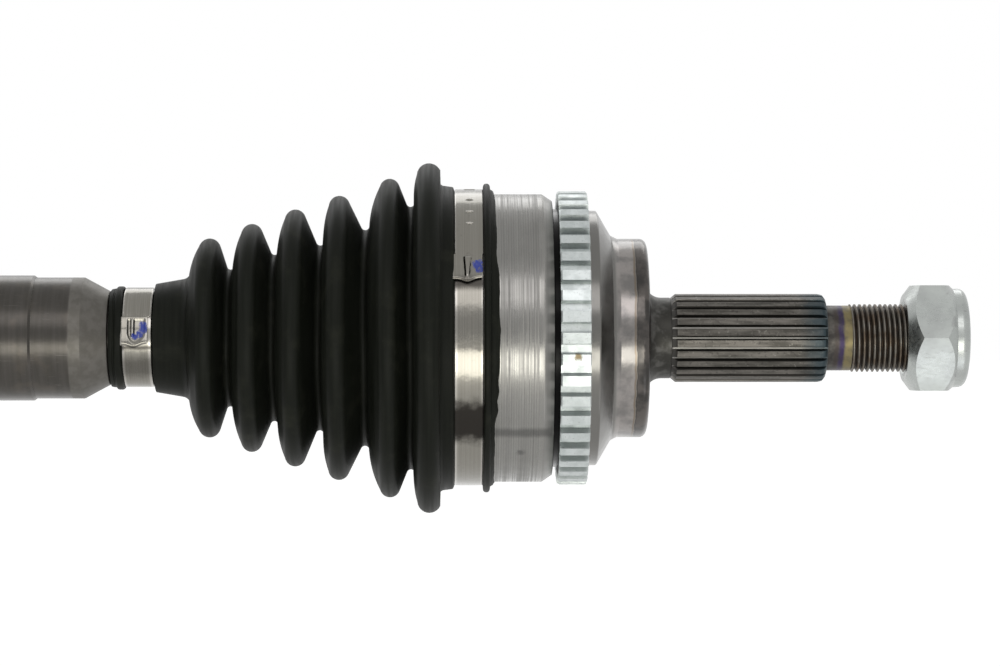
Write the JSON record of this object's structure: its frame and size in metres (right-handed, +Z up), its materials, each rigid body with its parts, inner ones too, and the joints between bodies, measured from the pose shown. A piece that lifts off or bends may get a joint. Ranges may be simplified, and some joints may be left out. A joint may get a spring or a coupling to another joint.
{
  "type": "drive shaft",
  "caption": "Front drive shaft: ball joint with splined stub and hub nut at the wheel end, tube, folded rubber boots, and a sliding tripod joint with a splined stub at the gearbox end.",
  "frame": {"origin": "on the shaft's axis, in the shoulder face that the wheel hub bears on", "axes": "+X along the axis towards the wheel and the hub nut, +Z up, +Y to the far side"},
  "size_m": [0.6003, 0.1022, 0.1022],
  "materials": {
    "turned_steel": "satin turned steel",
    "zinc_plate": "bright zinc plating",
    "zinc_nut": "zinc plated, slightly blue",
    "bearing_steel": "ground, polished",
    "shaft_steel": "dark oiled steel",
    "spring_steel": "oiled spring steel",
    "clamp_steel": "satin stainless steel",
    "boot_rubber": "matte black rubber",
    "nylon": "off-white nylon",
    "cup_plastic": "hard-wearing plastic"
  },
  "bodies": {
    "wheel_side": {"joint_bell": "turned_steel", "tone_ring": "zinc_plate", "outer_boot": "boot_rubber", "outer_large_clamp": "clamp_steel"},
    "cage": {"ball_cage": "bearing_steel", "joint_balls": "bearing_steel"},
    "shaft": {"shaft_outer_end": "shaft_steel", "shaft_tube": "shaft_steel", "shaft_inner_end": "shaft_steel", "inner_race": "bearing_steel", "race_circlip": "spring_steel", "outer_small_clamp": "clamp_steel", "inner_small_clamp": "clamp_steel", "tripod_spider": "bearing_steel", "spider_snap_ring": "spring_steel", "needle_rollers": "bearing_steel", "roller_washers": "spring_steel", "roller_clips": "spring_steel"},
    "roller_1": {"roller_1": "bearing_steel"},
    "roller_2": {"roller_2": "bearing_steel"},
    "roller_3": {"roller_3": "bearing_steel"},
    "thrust_cup": {"thrust_cup": "cup_plastic"},
    "gearbox_side": {"tripod_housing": "turned_steel", "inner_boot": "boot_rubber", "inner_large_clamp": "clamp_steel", "thrust_spring": "spring_steel", "stub_circlip": "spring_steel"},
    "lock_ring": {"nut_lock_ring": "nylon"},
    "hub_nut": {"hub_nut": "zinc_nut"}
  },
  "joints": [
    {"name": "outer_bend", "type": "hinge", "parent": "wheel_side", "child": "shaft", "pos_m": [-0.038, 0, 0], "axis": [0, 1, 0], "range_deg": [-40, 40], "deforming": ["outer_boot"]},
    {"name": "cage_tilt", "type": "hinge", "parent": "wheel_side", "child": "cage", "pos_m": [-0.038, 0, 0], "axis": [0, 1, 0], "range_deg": [-20, 20]},
    {"name": "inner_tilt", "type": "hinge", "parent": "shaft", "child": "thrust_cup", "pos_m": [-0.4, 0, 0], "axis": [0, 1, 0], "range_deg": [-18, 18], "deforming": ["inner_boot"]},
    {"name": "inner_plunge", "type": "slide", "parent": "thrust_cup", "child": "gearbox_side", "axis": [1, 0, 0], "range_m": [-0.012, 0.012], "deforming": ["thrust_spring"]},
    {"name": "roller_1_spin", "type": "hinge", "parent": "shaft", "child": "roller_1", "pos_m": [-0.4, 0, 0], "axis": [0, 1, 0], "range_deg": [-47.5, 47.5]},
    {"name": "roller_2_spin", "type": "hinge", "parent": "shaft", "child": "roller_2", "pos_m": [-0.4, 0, 0], "axis": [0, -0.5, 0.866], "range_deg": [-47.5, 47.5]},
    {"name": "roller_3_spin", "type": "hinge", "parent": "shaft", "child": "roller_3", "pos_m": [-0.4, 0, 0], "axis": [0, -0.5, -0.866], "range_deg": [-47.5, 47.5]},
    {"name": "nut_travel", "type": "slide", "parent": "wheel_side", "child": "lock_ring", "axis": [1, 0, 0], "range_m": [-0.01426, 0.01201]},
    {"name": "nut_turn", "type": "hinge", "parent": "lock_ring", "child": "hub_nut", "pos_m": [0.082, 0, 0], "axis": [1, 0, 0], "range_deg": [-3420, 2880]}
  ],
  "couplings": [
    {"joint": "cage_tilt", "follows": "outer_bend", "ratio": 0.5},
    {"joint": "nut_travel", "follows": "nut_turn", "m_per_rad": 0.00023873},
    {"joint": "roller_1_spin", "follows": "inner_plunge", "rad_per_m": 68.966},
    {"joint": "roller_2_spin", "follows": "inner_plunge", "rad_per_m": 68.966},
    {"joint": "roller_3_spin", "follows": "inner_plunge", "rad_per_m": 68.966}
  ]
}
